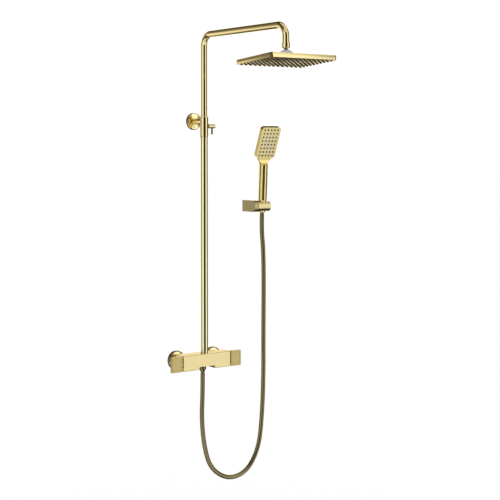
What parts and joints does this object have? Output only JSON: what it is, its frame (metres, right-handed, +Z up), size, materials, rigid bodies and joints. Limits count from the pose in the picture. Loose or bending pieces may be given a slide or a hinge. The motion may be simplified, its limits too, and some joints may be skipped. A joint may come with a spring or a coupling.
{
  "type": "rainfall shower column",
  "caption": "Exposed bar mixer with telescopic riser, overhead arm, rectangular rain head on a ball joint, and a hand shower with hose on its own wall holder.",
  "frame": {"origin": "on the wall plane, halfway between the two water inlets", "axes": "+X along the wall to the right, +Y into the wall, +Z up; the room is on the -Y side"},
  "size_m": [0.431, 0.6536, 1.5713],
  "materials": {
    "gold_brass": "satin brushed gold plating",
    "plain_brass": "plain turned brass",
    "gold_steel": "satin brushed gold plating on thin steel",
    "gold_plastic": "gold plated moulding",
    "pale_plastic": "pale grey moulding",
    "inner_plastic": "plain moulding",
    "seal_rubber": "matte",
    "nozzle_silicone": "matte silicone",
    "hose": "spiral metal sleeve over a rubber tube, gold plated",
    "steel": "plain"
  },
  "bodies": {
    "column": {"mixer_body": "gold_brass", "inlet_connector_hot": "gold_brass", "inlet_connector_cold": "gold_brass", "inlet_rose_hot": "gold_brass", "inlet_rose_cold": "gold_brass", "inlet_filter_hot": "seal_rubber", "inlet_filter_cold": "seal_rubber", "inlet_tail_hot": "gold_brass", "inlet_tail_cold": "gold_brass", "inlet_nut_hot": "gold_brass", "inlet_nut_cold": "gold_brass", "temperature_cartridge": "inner_plastic", "flow_cartridge": "inner_plastic", "temperature_cartridge_nut": "plain_brass", "flow_cartridge_nut": "plain_brass", "hose_outlet": "gold_brass", "outlet_washer": "seal_rubber", "hose_nut": "gold_brass", "hose_tube": "hose", "riser_gasket": "seal_rubber", "riser_tube": "gold_brass", "riser_collar": "gold_brass", "collar_seal": "seal_rubber", "clamp_pad": "inner_plastic", "bracket_wall_plate": "gold_brass", "bracket_stem": "gold_brass", "bracket_rose": "gold_brass", "holder_wall_plate": "steel", "holder_block": "gold_brass", "cradle_pivot": "steel", "cradle_washer": "inner_plastic"},
    "temperature_handle": {"temperature_spindle": "plain_brass", "temperature_handle": "gold_brass", "temperature_handle_screw": "steel"},
    "flow_handle": {"flow_spindle": "plain_brass", "flow_handle": "gold_brass", "flow_handle_screw": "steel"},
    "lock": {"lock_knob": "gold_brass", "lock_pin": "gold_brass"},
    "riser_slide": {"guide_bush": "inner_plastic"},
    "arm": {"arm_tube": "gold_brass", "arm_fitting": "gold_brass", "swivel_nut": "gold_brass"},
    "head_swivel": {"ball_seat": "inner_plastic"},
    "head": {"ball_stud": "gold_brass", "head_boss": "pale_plastic", "head_cover": "gold_steel", "head_face": "gold_steel", "head_nozzles": "nozzle_silicone"},
    "cradle": {"cradle": "gold_brass"},
    "handset": {"handset_body": "gold_plastic", "handset_face": "gold_steel", "handset_nozzles": "nozzle_silicone", "handset_inlet": "gold_brass", "cone_washer": "seal_rubber", "hose_cone": "gold_brass"}
  },
  "joints": [
    {"name": "temperature_turn", "type": "hinge", "parent": "column", "child": "temperature_handle", "pos_m": [0, -0.064, 0], "axis": [1, 0, 0], "range_deg": [-60, 60]},
    {"name": "flow_turn", "type": "hinge", "parent": "column", "child": "flow_handle", "pos_m": [0, -0.064, 0], "axis": [1, 0, 0], "range_deg": [-60, 60]},
    {"name": "lock_turn", "type": "hinge", "parent": "column", "child": "lock", "pos_m": [0, -0.07, 0.81], "axis": [1, 0, 0], "range_deg": [-120, 0]},
    {"name": "riser_height", "type": "slide", "parent": "column", "child": "riser_slide", "axis": [0, 0, 1], "range_m": [-0.22, 0.13]},
    {"name": "arm_swivel", "type": "hinge", "parent": "riser_slide", "child": "arm", "pos_m": [0, -0.07, 0.842], "axis": [0, 0, 1], "range_deg": [-75, 75]},
    {"name": "head_swivel", "type": "hinge", "parent": "arm", "child": "head_swivel", "pos_m": [0, -0.538, 1.0515], "axis": [0, 0, 1], "continuous": true},
    {"name": "head_tilt", "type": "hinge", "parent": "head_swivel", "child": "head", "pos_m": [0, -0.538, 1.0515], "axis": [1, 0, 0], "range_deg": [-10, 19]},
    {"name": "cradle_tilt", "type": "hinge", "parent": "column", "child": "cradle", "pos_m": [0.25, -0.06, 0.53], "axis": [1, 0, 0], "range_deg": [-15, 25], "deforming": ["hose_tube"]},
    {"name": "handset_lift", "type": "slide", "parent": "cradle", "child": "handset", "axis": [0, -0.0523, 0.9986], "range_m": [0, 0.06], "deforming": ["hose_tube"]}
  ]
}
